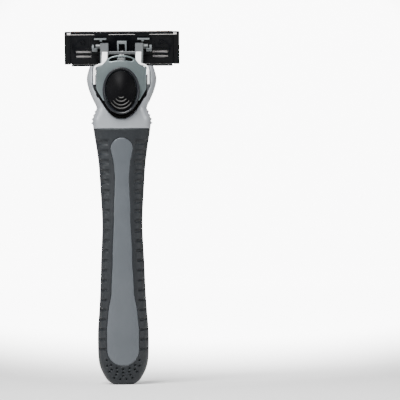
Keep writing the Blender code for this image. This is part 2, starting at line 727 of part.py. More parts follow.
def make_brackets(parent, material):
    for name, side in (("bearing_bracket_left", -1.0), ("bearing_bracket_right", 1.0)):
        def span(inner, outer):
            return sorted((side * inner, side * outer))
        low, high = span(8.3, 11.0)
        bracket = box(name, (low, BACK_Y - 0.9, -2.4), (high, BACK_Y - GAP, 3.1), parent)
        ring = rod(name + "_ring", (low + 0.4, 0.0, 0.0), (high, 0.0, 0.0), 2.0, 20, parent)
        bar_low, bar_high = span(5.6, 10.0)
        bar = box(name + "_bar", (bar_low, -0.2, 2.35), (bar_high, BACK_Y - GAP, 3.1), parent)
        stem_low, stem_high = span(7.1, 8.05)
        stem = box(name + "_stem", (stem_low, -0.2, 1.85), (stem_high, BACK_Y - GAP, 2.7), parent)
        join_to(bracket, ring, bar, stem)
        cut(bracket, rod(name + "_bore", (side * 8.0, 0.0, 0.0), (side * 10.2, 0.0, 0.0), 1.1,
                         20, parent))
        face_low, face_high = span(7.0, 12.0)
        cut(bracket, box(name + "_face", (face_low, BACK_Y - GAP, -3.0), (face_high, 3.0, 4.0),
                         parent))
        mouth_low, mouth_high = span(8.0, 10.2)
        cut(bracket, box(name + "_mouth", (mouth_low, -3.0, -0.3), (mouth_high, -0.4, 0.5),
                         parent))
        paint(material, bracket)


def make_cam(parent, material):
    outline = ((-1.75, -3.0), (-1.15, -3.0), (-1.15, 0.8), (1.15, 0.8), (1.15, -3.0),
               (1.75, -3.0), (1.75, 1.9), (-1.75, 1.9))
    cam = prism_y("cam_bracket", outline, 0.1, BACK_Y - GAP, parent)
    paint(material, cam)


# ---------------------------------------------------------------- whole razor

def build():
    clear_scene()
    grey = make_material("grey_abs", GREY, 0.38)
    silver = make_material("silver_paint", SILVER, 0.3, 0.4)
    black = make_material("black_plastic", BLACK, 0.35)
    charcoal = make_material("charcoal_rubber", CHARCOAL, 0.6)
    dark_grey = make_material("dark_grey_plastic", DARK_GREY, 0.4)
    light_grey = make_material("light_grey_plastic", LIGHT_GREY, 0.4)
    steel = make_material("blade_steel", STEEL, 0.22, 1.0)
    orange = make_material("orange_strip", ORANGE, 0.5)
    blue = make_material("light_blue_rubber", LIGHT_BLUE, 0.5)
    white = make_material("pale_acetal", WHITE, 0.4)

    make_handle_shell(grey)
    make_inner_core(black)
    make_grip_rubber(charcoal)
    make_grip_inlay(light_grey)
    make_head_cover(silver)
    make_button_trough(black)
    make_plunger_guide(grey)

    button_slide = make_empty("button_slide", (0.0, RING_BACK_Y, BUTTON_CENTRE_Z))
    make_button(button_slide, black, dark_grey, white)
    spring = coil("button_spring", BUTTON_SPRING_START, Vector((0.0, 0.0, 1.0)),
                  BUTTON_SPRING_LENGTH, 1.1, 0.2, 6)
    paint(steel, spring)

    plunger_slide = make_empty("plunger_slide", (0.0, *PLUNGER_TIP))
    make_plunger(plunger_slide, white)
    tip = Vector((0.0, *PLUNGER_TIP))
    spring = coil("plunger_spring", tip - plunger_axis() * PLUNGER_SPRING_BACK,
                  plunger_axis(), PLUNGER_SPRING_LENGTH, 0.8, 0.15, 5)
    paint(steel, spring)

    yoke_seat = make_empty("yoke_seat", (0.0, PIVOT_Y, PIVOT_Z))
    make_yoke(yoke_seat, silver)

    pivot = make_empty("cartridge_pivot", (0.0, PIVOT_Y, PIVOT_Z), FACE_TILT)
    make_end_caps(pivot, black)
    make_housing(pivot, black)
    make_back_cover(pivot, black)
    make_blades(pivot, steel)
    make_strips(pivot, orange, blue, black)
    make_brackets(pivot, grey)
    make_cam(pivot, grey)


build()
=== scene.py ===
"""Looks of the cartridge razor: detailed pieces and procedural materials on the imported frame.

Lengths are in millimetres until a mesh is made.  +Z runs along the handle, the thumb side
faces -Y and the blades face +Y.
"""
import math

import bmesh
import bpy
from mathutils import Matrix, Vector


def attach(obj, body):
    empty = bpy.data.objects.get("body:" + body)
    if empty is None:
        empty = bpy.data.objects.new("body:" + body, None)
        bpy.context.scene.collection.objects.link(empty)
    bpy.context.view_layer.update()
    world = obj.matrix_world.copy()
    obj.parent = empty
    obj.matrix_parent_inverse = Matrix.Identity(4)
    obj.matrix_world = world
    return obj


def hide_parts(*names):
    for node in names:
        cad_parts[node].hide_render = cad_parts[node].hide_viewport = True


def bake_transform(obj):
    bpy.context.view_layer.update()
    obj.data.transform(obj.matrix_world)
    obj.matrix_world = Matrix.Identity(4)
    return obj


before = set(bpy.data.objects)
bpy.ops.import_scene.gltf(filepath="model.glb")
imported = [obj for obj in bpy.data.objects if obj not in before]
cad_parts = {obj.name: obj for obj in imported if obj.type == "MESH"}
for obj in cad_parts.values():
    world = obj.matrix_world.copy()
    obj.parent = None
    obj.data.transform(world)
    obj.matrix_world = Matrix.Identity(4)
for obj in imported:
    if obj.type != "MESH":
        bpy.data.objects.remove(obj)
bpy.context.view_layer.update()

MM = 0.001

# Handle outline: height, half width, thumb-side Y, blade-side Y
HANDLE_STATIONS = (
    (0.0, 3.6, -2.2, 2.2),
    (1.2, 5.5, -3.2, 4.2),
    (3.0, 6.9, -3.9, 6.0),
    (6.0, 8.4, -4.4, 8.0),
    (9.0, 9.1, -4.7, 9.2),
    (14.0, 9.35, -4.9, 10.0),
    (20.0, 9.3, -5.0, 9.8),
    (26.0, 8.85, -5.3, 8.9),
    (32.0, 8.45, -5.6, 7.6),
    (38.0, 8.2, -5.9, 6.3),
    (44.0, 8.0, -6.0, 5.0),
    (50.0, 7.7, -6.1, 3.9),
    (57.0, 7.4, -6.1, 3.1),
    (63.0, 7.5, -5.9, 3.0),
    (69.0, 7.85, -5.4, 3.8),
    (75.0, 8.2, -4.9, 4.9),
    (81.0, 8.65, -4.5, 5.9),
    (87.0, 9.45, -4.2, 6.7),
    (93.5, 10.45, -4.3, 7.3),
    (97.0, 10.6, -4.5, 7.7),
    (101.0, 9.2, -4.6, 8.4),
    (104.0, 10.5, -4.5, 9.5),
    (108.0, 12.1, -4.2, 10.9),
    (112.0, 12.8, -3.8, 11.9),
    (116.5, 11.7, -3.4, 12.6),
)
GRIP_SQUARENESS = 2.5
NECK_SQUARENESS = 3.2
Z_GRIP_TOP = 93.5
Z_NECK_TOP = 116.5
SHELL_WALL = 1.8
NECK_WALL = 1.9
SPLIT_FRACTION = 0.1
CORE_BOTTOM = 7.0
CAVITY_FLOOR = 99.5
SPINE_TOP = 106.0

NOTCH_DEPTH = 0.5
NOTCH_PITCH = 3.6
NOTCH_TOP_Z = 88.4
NOTCH_BOTTOM_Z = 11.5
INLAY_FOOT = (5.75, 12.75)   # radius and height of its round foot
INLAY_HEAD = (3.95, 86.1)
SLOT_TOP_Z = 91.0
SLOT_BOTTOM_Z = 3.2
SLOT_COUNT = 22
SLOT_HEIGHT = 2.95
SLOT_REACH = 0.85
SLOT_SMILE = 1.5             # how far a slot's ends rise above its middle
SLOT_FROWN = -2.6

RECESS_MIDDLE_Z = 108.5
STEM_SLOT_HALF = 2.8
STEM_SLOT_TOP = 113.0
BUTTON_CENTRE_Z = 107.2
BUTTON_HALF = (5.5, 7.3)
RING_HALF = (6.8, 8.6)
RING_BACK_Y = -6.0
RING_FRONT_Y = -7.0
DOME_FRONT_Y = -8.55
DOME_RIM_Y = RING_BACK_Y - 0.7
RIDGES = ((0.36, 30.0), (0.54, 42.0), (0.72, 48.0), (0.89, 50.0))   # share of dome, spread

PIVOT = Vector((0.0, 11.8, 124.0))
FACE_TILT = math.radians(11.6)
PIN_RADIUS = 0.9
PIN_REACH = 9.7
CARTRIDGE_HALF = 21.25
END_CAP_WIDTH = 2.3
FACE_BOTTOM = -7.2
FACE_TOP = 4.9
BACK_Y = 1.6
FRONT_Y = 5.9
BLADE_COUNT = 3
BLADE_PITCH = 1.65
BLADE_FIRST_Z = 0.95
BLADE_TILT = math.radians(24)
BLADE_DEPTH = 5.0
INNER_HALF = CARTRIDGE_HALF - END_CAP_WIDTH - 0.3
BODY_HALF = INNER_HALF + 0.32     # the housing and cover reach into the end caps
BLADE_HALF = INNER_HALF - 1.2
STRIP_HALF = INNER_HALF - 0.2

PLUNGER_TIP = Vector((0.0, 13.46, 122.03))
PLUNGER_AXIS = Vector((0.0, math.cos(math.radians(35)), math.sin(math.radians(35))))
UP = Vector((0.0, 0.0, 1.0))

SIDES = (("left", -1.0), ("right", 1.0))

# Camera
CAMERA_PLACE = (0.0284, -1.5, 0.0672)
FRAME_WIDTH = 0.1462         # what the picture spans at the razor, in metres
SENSOR = 36.0
CAMERA_ROLL = math.radians(0.4)

# Light
WORLD_GLOW = 0.12
FLOOR_GLOW = 0.2
WALL_GLOW = 9.0
GLOW_PLACE = (0.03, 2.3, 0.07)
GLOW_SPAN = (0.26, 2.15, 0.3)    # the glow is full inside 0.85 of this and gone by 1.11
LAMPS = (("top", (-0.2, -0.5, 0.75), 0.4, 24.0),         # place, size and power
         ("left", (-0.8, -0.3, 0.25), 0.3, 3.0),
         ("right", (0.8, -0.33, 0.25), 0.3, 3.0),
         ("back", (0.78, 0.38, 0.68), 0.5, 0.8))
LAMP_AIM = (0.0, 0.0, 0.07)
FLOOR_RADIUS = 1.8
SWEEP_RADIUS = 0.5
WALL_TOP = 1.3


# ---------------------------------------------------------------- mesh tools

def turns_of(count):
    return [2.0 * math.pi * index / count for index in range(count)]


def arc_angles(start, end, step):
    return [math.radians(angle) for angle in levels(start, end, step)]


def linked_mesh(name, points, faces):
    """A linked object from points in metres, its faces turned outwards."""
    mesh = bpy.data.meshes.new(name)
    mesh.from_pydata(points, [], faces)
    work = bmesh.new()
    work.from_mesh(mesh)
    bmesh.ops.recalc_face_normals(work, faces=work.faces)
    work.to_mesh(mesh)
    work.free()
    item = bpy.data.objects.new(name, mesh)
    bpy.context.collection.objects.link(item)
    return item


def mesh_piece(name, points, faces):
    return linked_mesh(name, [Vector(point) * MM for point in points], faces)


def loft(name, rings):
    """Skin a stack of rings with equal point counts and cap both ends."""
    count = len(rings[0])
    points = [point for ring in rings for point in ring]
    faces = []
    for level in range(len(rings) - 1):
        low = level * count
        for index in range(count):
            following = (index + 1) % count
            faces.append((low + index, low + following,
                          low + count + following, low + count + index))
    faces.append(tuple(range(count)))
    faces.append(tuple(range(len(points) - count, len(points))))
    return mesh_piece(name, points, faces)


def prism_y(name, outline, y_low, y_high):
    return loft(name, [[(x, y, z) for x, z in outline] for y in (y_low, y_high)])


def prism_x(name, outline, x_low, x_high):
    return loft(name, [[(x, y, z) for y, z in outline] for x in (x_low, x_high)])


def box(name, low, high):
    outline = ((low[0], low[2]), (high[0], low[2]), (high[0], high[2]), (low[0], high[2]))
    return prism_y(name, outline, low[1], high[1])


def rod(name, start, end, radius):
    start, end = Vector(start), Vector(end)
    turn = (end - start).to_track_quat("Z", "Y").to_matrix()
    rings = [[tuple(centre + turn @ Vector((radius * math.cos(a), radius * math.sin(a), 0.0)))
              for a in turns_of(32)] for centre in (start, end)]
    return loft(name, rings)


def ball(name, centre, radius, stretch):
    rings = []
    for step in range(1, 8):
        lean = math.pi * step / 8
        rings.append([(centre[0] + stretch[0] * radius * math.sin(lean) * math.cos(a),
                       centre[1] + stretch[1] * radius * math.sin(lean) * math.sin(a),
                       centre[2] - stretch[2] * radius * math.cos(lean))
                      for a in turns_of(12)])
    return loft(name, rings)


def levels(low, high, step):
    count = max(1, round((high - low) / step))
    return [low + (high - low) * index / count for index in range(count + 1)]


def settle(piece):
    """Apply the piece's modifiers."""
    bpy.context.view_layer.update()
    graph = bpy.context.evaluated_depsgraph_get()
    mesh = bpy.data.meshes.new_from_object(piece.evaluated_get(graph), depsgraph=graph)
    old = piece.data
    piece.modifiers.clear()
    piece.data = mesh
    bpy.data.meshes.remove(old)
    mesh.name = piece.name


def discard(item):
    mesh = item.data
    bpy.data.objects.remove(item)
    bpy.data.meshes.remove(mesh)


def gather(cutters):
    """Join cutters that don't touch each other into one."""
    work = bmesh.new()
    for cutter in cutters:
        work.from_mesh(cutter.data)
    joined = cutters[0]
    work.to_mesh(joined.data)
    work.free()
    for cutter in cutters[1:]:
        discard(cutter)
    return joined


def combine(piece, other, operation):
    modifier = piece.modifiers.new("shape", "BOOLEAN")
    modifier.operation = operation
    modifier.solver = "EXACT"
    modifier.object = other
    settle(piece)
    discard(other)


def cut(piece, *cutters):
    for cutter in cutters:
        combine(piece, cutter, "DIFFERENCE")


def join_to(piece, *others):
    for other in others:
        combine(piece, other, "UNION")


def soften(piece, voxel, passes):
    """Round every edge: an even voxel mesh, smoothed."""
    remesh = piece.modifiers.new("even", "REMESH")
    remesh.mode = "VOXEL"
    remesh.voxel_size = voxel * MM
    remesh.use_smooth_shade = True
    smooth = piece.modifiers.new("round", "SMOOTH")
    smooth.factor = 0.5
    smooth.iterations = passes
    settle(piece)
    piece.data.shade_smooth()


def bevel(piece, width, segments=3, angle=30.0):
    """Rounded edges on a crisp piece, with flat faces kept flat."""
    modifier = piece.modifiers.new("edge", "BEVEL")
    modifier.width = width * MM
    modifier.segments = segments
    modifier.limit_method = "ANGLE"
    modifier.angle_limit = math.radians(angle)
    modifier.harden_normals = False
    settle(piece)
    piece.data.shade_smooth()
    piece.data.set_sharp_from_angle(angle=math.radians(40))


def paint(item, material):
    item.data.materials.clear()
    item.data.materials.append(material)


def to_cartridge(piece):
    """Move a piece made round the pivot, square to the blade face, into its place."""
    place = Matrix.Translation(PIVOT * MM) @ Matrix.Rotation(FACE_TILT, 4, "X")
    piece.data.transform(place)


def finish_piece(piece, body, material, slot, *nodes):
    """Paint a piece, ride it on its body, and hide the CAD nodes it stands for."""
    paint(piece, material)
    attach(piece, body)
    if nodes:
        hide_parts(*nodes)


# ---------------------------------------------------------------- materials

def procedural(name, colour, roughness, metallic=0.0, coat=0.0, shade=0.12, grain=0.04,
               grain_scale=2600.0, cloud_scale=90.0, rough_spread=0.08, stretch=(1, 1, 1),
               specular=0.5):
    """Moulded or painted surface: cloudy colour, uneven gloss and a fine grain."""
    material = bpy.data.materials.new(name)
    material.use_nodes = True
    nodes, links = material.node_tree.nodes, material.node_tree.links
    shader = nodes["Principled BSDF"]
    shader.inputs["Metallic"].default_value = metallic
    shader.inputs["Coat Weight"].default_value = coat
    shader.inputs["Coat Roughness"].default_value = 0.12
    shader.inputs["Specular IOR Level"].default_value = specular
    place = nodes.new("ShaderNodeTexCoord")
    scale = nodes.new("ShaderNodeMapping")
    scale.inputs["Scale"].default_value = stretch
    links.new(place.outputs["Object"], scale.inputs["Vector"])

    cloud = nodes.new("ShaderNodeTexNoise")
    cloud.inputs["Scale"].default_value = cloud_scale
    cloud.inputs["Detail"].default_value = 4.0
    links.new(scale.outputs["Vector"], cloud.inputs["Vector"])
    ramp = nodes.new("ShaderNodeValToRGB")
    ramp.color_ramp.elements[0].position = 0.3
    ramp.color_ramp.elements[1].position = 0.7
    ramp.color_ramp.elements[0].color = (*[c * (1.0 - shade) for c in colour], 1.0)
    ramp.color_ramp.elements[1].color = (*[min(1.0, c * (1.0 + shade)) for c in colour], 1.0)
    links.new(cloud.outputs["Fac"], ramp.inputs["Fac"])
    links.new(ramp.outputs["Color"], shader.inputs["Base Color"])

    gloss = nodes.new("ShaderNodeMapRange")
    gloss.inputs["To Min"].default_value = max(0.02, roughness - rough_spread)
    gloss.inputs["To Max"].default_value = roughness + rough_spread
    links.new(cloud.outputs["Fac"], gloss.inputs["Value"])
    links.new(gloss.outputs["Result"], shader.inputs["Roughness"])

    fine = nodes.new("ShaderNodeTexNoise")
    fine.inputs["Scale"].default_value = grain_scale
    fine.inputs["Detail"].default_value = 3.0
    links.new(scale.outputs["Vector"], fine.inputs["Vector"])
    bump = nodes.new("ShaderNodeBump")
    bump.inputs["Strength"].default_value = grain
    bump.inputs["Distance"].default_value = 0.0002
    links.new(fine.outputs["Fac"], bump.inputs["Height"])
    links.new(bump.outputs["Normal"], shader.inputs["Normal"])
    return material


def make_materials():
    return {
        "shell": procedural("satin_grey_shell", (0.20, 0.213, 0.228), 0.34, 0.2, 0.15,
                            shade=0.05, grain=0.03),
        "silver": procedural("silver_paint", (0.098, 0.12, 0.124), 0.32, 0.55, 0.1,
                             shade=0.08, grain=0.05, grain_scale=6000.0),
        "arm": procedural("silver_arm", (0.072, 0.077, 0.08), 0.38, 0.25, shade=0.05,
                          grain=0.05),
        # Near-white painted highlight for the lit top and edges of the silver yoke arms
        "band": procedural("white_band", (0.86, 0.87, 0.87), 0.3, coat=0.2, shade=0.03,
                           grain=0.03),
        "rubber": procedural("charcoal_rubber", (0.0038, 0.0054, 0.0072), 0.5, shade=0.15,
                             grain=0.25, grain_scale=3800.0, specular=0.3),
        "inlay": procedural("light_grey_inlay", (0.062, 0.070, 0.079), 0.36, 0.35, 0.1,
                            shade=0.05, grain=0.03),
        "dome": procedural("button_black", (0.002, 0.002, 0.0024), 0.5, shade=0.2, grain=0.08,
                           specular=0.04),
        # Painted highlight: the ridges are the dome's black plastic, coloured lighter to copy
        # light reflecting off them
        "ridge": procedural("ridge_painted_highlight", (0.014, 0.0135, 0.0125), 0.5, shade=0.12, grain=0.1),
        "black": procedural("black_plastic", (0.0012, 0.0014, 0.002), 0.28, shade=0.2,
                            grain=0.03, specular=0.09),
        "core": procedural("black_core", (0.0012, 0.0012, 0.0015), 0.5, shade=0.2, grain=0.1,
                           specular=0.08),
        "dark_grey": procedural("dark_grey_plastic", (0.008, 0.009, 0.011), 0.34, shade=0.1,
                                grain=0.06, specular=0.22),
        "bracket": procedural("grey_bracket", (0.12, 0.132, 0.138), 0.4, 0.2, shade=0.08),
        "steel": procedural("ground_steel", (0.82, 0.81, 0.79), 0.32, 1.0, shade=0.05,
                            grain=0.12, grain_scale=900.0, stretch=(0.06, 1.0, 6.0)),
        # Matt steel for the clips, also used as the painted highlight on the cartridge's top rim
        "clip": procedural("matt_steel_and_rim_highlight", (0.50, 0.48, 0.47), 0.5, 0.4, shade=0.05, grain=0.1),
        "orange": procedural("orange_strip", (0.72, 0.22, 0.0), 0.55, shade=0.1, specular=0.1,
                             grain=0.3, grain_scale=2200.0, stretch=(0.25, 1.0, 1.0)),
        "blue": procedural("light_blue_rubber", (0.20, 0.37, 0.58), 0.5, shade=0.06,
                           grain=0.1),
        "white": procedural("pale_acetal", (0.72, 0.74, 0.74), 0.35, shade=0.04, grain=0.04),
    }


# ---------------------------------------------------------------- handle outline

def station_at(z):
    """Half width, thumb-side Y and blade-side Y at a height, on a smooth curve."""
    table = HANDLE_STATIONS
    z = min(max(z, table[0][0]), table[-1][0])
    index = max(i for i in range(len(table) - 1) if table[i][0] <= z)
    low, high = table[index], table[index + 1]
    before = table[max(index - 1, 0)]
    after = table[min(index + 2, len(table) - 1)]
    span = high[0] - low[0]
    t = (z - low[0]) / span
    result = []
    for column in (1, 2, 3):
        slope_low = (high[column] - before[column]) / (high[0] - before[0]) * span
        slope_high = (after[column] - low[column]) / (after[0] - low[0]) * span
        value = ((2 * t**3 - 3 * t**2 + 1) * low[column] + (t**3 - 2 * t**2 + t) * slope_low
                 + (3 * t**2 - 2 * t**3) * high[column] + (t**3 - t**2) * slope_high)
        result.append(value)
    return result


def squareness(z):
    share = min(max((z - 88.0) / 10.0, 0.0), 1.0)
    return GRIP_SQUARENESS + share * (NECK_SQUARENESS - GRIP_SQUARENESS)


def ring_at(z, inset=0.0, count=96):
    half_x, front, back = station_at(z)
    half_x -= inset
    front += inset
    back -= inset
    middle, half_y = (front + back) / 2.0, (back - front) / 2.0
    power = 2.0 / squareness(z)
    ring = []
    for index in range(count):
        angle = 2.0 * math.pi * (index + 0.5) / count
        c, s = math.cos(angle), math.sin(angle)
        ring.append((half_x * math.copysign(abs(c) ** power, c),
                     middle + half_y * math.copysign(abs(s) ** power, s), z))
    return ring


def body_levels(low, high):
    marks = levels(0.0, 6.0, 0.4) + levels(7.0, Z_NECK_TOP, 1.1)
    inside = [z for z in marks if low + 0.2 < z < high - 0.2]
    return [low] + inside + [high]


def split_y(z):
    _, front, back = station_at(z)
    return (front + back) / 2.0 - SPLIT_FRACTION * (back - front) / 2.0


# ---------------------------------------------------------------- handle shell

def slot_shape(index):
    share = index / (SLOT_COUNT - 1)
    z = SLOT_TOP_Z + (SLOT_BOTTOM_Z - SLOT_TOP_Z) * share
    if share < 0.7:
        smile = SLOT_SMILE + (SLOT_FROWN - SLOT_SMILE) * max(0.0, share - 0.15) / 0.55
    else:
        smile = SLOT_FROWN * (1.0 - 0.9 * (share - 0.7) / 0.3)
    return z, smile


def slot_cutter(index):
    """A curved slot with round ends through the rear wall."""
    z, smile = slot_shape(index)
    half_x, _, back = station_at(z)
    reach = SLOT_REACH * half_x
    height = min(SLOT_HEIGHT, 1.0 + 0.35 * z)
    steps = [math.sin(math.pi * i / 32.0) for i in range(-16, 17)]
    bottom, top = [], []
    for t in steps:
        middle = z + smile * t * t
        half = height / 2.0 * max(0.0, 1.0 - abs(t) ** 14) ** 0.5
        half = max(half, 0.02)
        bottom.append((t * reach, middle - half))
        top.append((t * reach, middle + half))
    return prism_y("slot", bottom + top[::-1], split_y(z) + 1.2, back + 4.0)


def make_shell(material):
    shell = loft("razor_shell", [ring_at(z) for z in body_levels(0.04, Z_NECK_TOP)])
    front_side = [(split_y(z), z) for z in levels(-1.0, Z_GRIP_TOP, 2.0)]
    front_side += [(-30.0, Z_GRIP_TOP), (-30.0, -1.0)]
    cut(shell, prism_x("grip_side", front_side, -20.0, 20.0))
    cut(shell, loft("hollow", [ring_at(z, SHELL_WALL, 48)
                               for z in body_levels(CORE_BOTTOM - 0.8, Z_GRIP_TOP - 1.2)]))
    cut(shell, gather([slot_cutter(index) for index in range(SLOT_COUNT)]))
    rings = [ring_at(z, NECK_WALL, 48) for z in body_levels(CAVITY_FLOOR, Z_NECK_TOP)]
    top = [(x, y, Z_NECK_TOP + 4.0) for x, y, _ in rings[-1]]
    cut(shell, loft("neck_hollow", rings + [top]))
    outline = recess_outline()
    cut(shell, prism_y("recess", outline, -12.0, 1.0))
    wide = scaled(outline, 1.1, 1.1)
    cut(shell, loft("recess_edge", [[(x, -5.3, z) for x, z in wide],
                                    [(x, -3.8, z) for x, z in outline]]))
    slant = ((-12.0, 122.6), (20.0, 108.7), (20.0, 130.0), (-12.0, 130.0))
    cut(shell, prism_x("wing_tops", slant, -20.0, 20.0))
    cut(shell, box("window", (-2.3, 3.0, 94.5), (2.3, 15.0, 102.0)))
    gap = ((-2.6, SPINE_TOP), (2.6, SPINE_TOP), (6.0, 125.0), (-6.0, 125.0))
    cut(shell, prism_y("spine_gap", gap, 2.0, 20.0))
    for _, side in SIDES:
        slit = ((side * 2.5, SPINE_TOP + 1.0), (side * 4.1, SPINE_TOP + 1.0),
                (side * 6.9, 99.0), (side * 6.7, 98.3), (side * 5.9, 98.0),
                (side * 5.3, 98.6))
        cut(shell, prism_y("slit", slit, 3.0, 20.0))
    for _, side in SIDES:
        for z in (95.9, 97.4, 98.9, 100.2):
            half_x = station_at(z)[0]
            tooth = ((side * (half_x - 1.0), z - 0.75), (side * (half_x + 0.75), z - 0.55),
                     (side * (half_x + 0.5), z - 0.2), (side * (half_x - 1.0), z + 0.5))
            join_to(shell, prism_y("tooth", tooth, 0.0, 3.6))
    soften(shell, 0.25, 3)
    finish_piece(shell, "handle", material, "grey_abs", "handle_shell")


def make_painted_shade_backings(material):
    """Black sheets seen through the window, the lowest slots and the cover's arc slot: painted
    shade that makes the openings read dark.
    """
    window = box("razor_window_painted_shade", (-2.6, 3.3, 94.2), (2.6, 4.1, 102.3))
    foot = loft("razor_slot_painted_shade", [ring_at(z, 2.3, 64) for z in levels(1.6, 8.6, 0.7)])
    plate = prism_y("razor_cover_painted_shade", ((-4.9, 116.9), (-1.45, 116.9), (-1.45, 119.5),
                                         (1.45, 119.5), (1.45, 116.9), (4.9, 116.9),
                                         (4.6, 118.7), (3.2, 119.75), (-3.2, 119.75),
                                         (-4.6, 118.7)), -3.5, -3.1)
    for piece, node in ((window, "inner_core"), (foot, "inner_core"), (plate, "head_cover")):
        bevel(piece, 0.08, 2)
        finish_piece(piece, "handle", material, "black_plastic")


def scaled(outline, wider, taller):
    """An outline grown about the middle of the recess."""
    return [(wider * x, RECESS_MIDDLE_Z + taller * (z - RECESS_MIDDLE_Z)) for x, z in outline]


def recess_outline():
    """The V-shaped opening of the neck with a round foot."""
    right = [(1.5, 97.25), (2.9, 97.9), (4.3, 99.0), (5.6, 100.5), (7.2, 102.9), (8.9, 105.7),
             (10.1, 107.9), (10.6, 109.6), (10.6, 125.0)]
    return [(-x, z) for x, z in right[::-1]] + [(0.0, 97.1)] + right


# ---------------------------------------------------------------- grip

def inlay_half_width(z):
    table = ((12.0, 5.75), (20.0, 5.75), (26.0, 5.2), (34.0, 4.0), (46.0, 3.5), (62.0, 2.9),
             (76.0, 2.45), (80.0, 2.8), (86.5, 3.9))
    for (z0, w0), (z1, w1) in zip(table, table[1:]):
        if z <= z1:
            t = max(0.0, z - z0) / (z1 - z0)
            return w0 + (w1 - w0) * t * t * (3.0 - 2.0 * t)
    return table[-1][1]


def inlay_outline(margin):
    """A round head, a slim waist and a wide round foot."""
    side = [(inlay_half_width(z) + margin, z) for z in levels(12.8, 84.0, 2.0)]
    radius, middle = INLAY_HEAD
    head = [((radius + margin) * math.cos(a), middle + (radius + margin) * math.sin(a))
            for a in arc_angles(0.0, 80.0, 10.0)]
    radius, middle = INLAY_FOOT
    foot = [((radius + margin) * math.sin(a), middle - (radius + margin) * math.cos(a))
            for a in arc_angles(10.0, 80.0, 10.0)]
    right = foot + side + head
    return right + [(-x, z) for x, z in right[::-1]]


def notch_cutter():
    """Shallow grooves along both flanks, box-like at the neck and slit-like at the club."""
    cutters = []
    z = NOTCH_TOP_Z
    while z > NOTCH_BOTTOM_Z:
        share = min(1.0, (NOTCH_TOP_Z - z) / 45.0)
        half_x, front, _ = station_at(z)
        inner = half_x * (0.50 + 0.16 * share)
        height = 1.9 - 1.1 * share
        rise = 0.1 + 0.6 * share
        for _, side in SIDES:
            outer = side * (half_x + 1.0)
            outline = ((side * inner, z - height / 2), (outer, z - height / 2 + rise),
                       (outer, z + height / 2 + rise), (side * inner, z + height / 2))
            cutters.append(prism_y("notch", outline, front - 2.0, split_y(z) - 1.1))
        z -= NOTCH_PITCH
    grooves = gather(cutters)
    cut(grooves, loft("groove_floor", [ring_at(z, NOTCH_DEPTH, 64)
                                       for z in body_levels(5.0, 93.0)]))
    return grooves


def dimple_cutters():
    """Small round dimples in arcs between the inlay's foot and the butt."""
    rows = ((7.1, 7, 19.0), (8.35, 7, 15.0), (9.5, 5, 16.0), (10.8, 4, 12.0))
    cutters = []
    for radius, count, step in rows:
        for index in range(count):
            angle = math.radians((index - (count - 1) / 2.0) * step)
            x = radius * math.sin(angle)
            z = INLAY_FOOT[1] - radius * math.cos(angle)
            half_x, front, back = station_at(z)
            middle, half_y = (front + back) / 2.0, (back - front) / 2.0
            share = max(0.0, 1.0 - abs(x / half_x) ** GRIP_SQUARENESS)
            y = middle - half_y * share ** (1.0 / GRIP_SQUARENESS)
            cutters.append(ball("dimple", (x, y, z), 0.46, (1.0, 1.8, 1.0)))
    return cutters


def make_grip(rubber_material, inlay_material):
    rubber = loft("razor_grip", [ring_at(z) for z in body_levels(0.04, Z_GRIP_TOP - 0.08)])
    back_side = [(split_y(z) - 0.12, z) for z in levels(-1.0, 96.0, 2.0)]
    cut(rubber, prism_x("back_side", back_side + [(30.0, 96.0), (30.0, -1.0)], -20.0, 20.0))
    cut(rubber, loft("core_side", [ring_at(z, 1.75, 48) for z in body_levels(6.4, 95.0)]))
    cut(rubber, prism_y("inlay_seat", inlay_outline(0.05), -20.0, 0.0))
    cut(rubber, notch_cutter())
    cut(rubber, gather(dimple_cutters()))
    soften(rubber, 0.22, 3)
    finish_piece(rubber, "handle", rubber_material, "charcoal_rubber", "grip_rubber")

    inlay = prism_y("razor_inlay", inlay_outline(0.1), -20.0, 0.0)
    combine(inlay, loft("skin", [ring_at(z) for z in body_levels(2.0, 93.0)]), "INTERSECT")
    cut(inlay, loft("core_side", [ring_at(z, 1.7, 48) for z in body_levels(2.0, 95.0)]))
    soften(inlay, 0.22, 5)
    finish_piece(inlay, "handle", inlay_material, "light_grey_plastic", "grip_inlay")


# ---------------------------------------------------------------- head, thumb side

def cover_outline():
    """A domed top, hollow shoulders, straight sides and a V foot."""
    right = [(6.6, 103.6), (9.1, 107.8), (9.2, 114.9)]
    right += [(9.15, 115.3), (8.9, 115.8), (8.2, 116.15), (7.4, 116.45), (6.7, 116.9),
              (6.1, 117.5), (5.6, 118.2)]
    right += [(5.5 * math.cos(a), 117.9 + 2.3 * math.sin(a))
              for a in arc_angles(20.0, 80.0, 10.0)]
    return right + [(0.0, 120.2)] + [(-x, z) for x, z in right[::-1]]


def make_cover(material):
    rings = []
    for z in levels(100.0, 122.0, 0.8):
        lean = 0.012 * max(0.0, z - 112.0) ** 2
        xs = levels(-12.0, 12.0, 0.6)
        front = [(x, -5.6 + 0.013 * x * x + lean, z) for x in xs]
        back = [(x, -4.5 + 0.013 * x * x + lean, z) for x in xs]
        rings.append(front + back[::-1])
    cover = loft("razor_head_cover", rings)
    combine(cover, prism_y("outline", cover_outline(), -12.0, 2.0), "INTERSECT")
    cut(cover, box("stem_notch", (-STEM_SLOT_HALF, -12.0, 100.0),
                   (STEM_SLOT_HALF, 2.0, STEM_SLOT_TOP)))
    arc = [(x, 118.9 - 0.03 * x * x) for x in levels(-4.4, 4.4, 0.55)]
    half = [0.62 * (1.0 - (x / 4.6) ** 6) ** 0.5 for x, _ in arc]
    outline = [(x, z - h) for (x, z), h in zip(arc, half)]
    outline += [(x, z + h) for (x, z), h in zip(arc[::-1], half[::-1])]
    cut(cover, prism_y("arc_slot", outline, -12.0, 2.0))
    soften(cover, 0.17, 4)
    finish_piece(cover, "handle", material, "silver_paint", "head_cover")


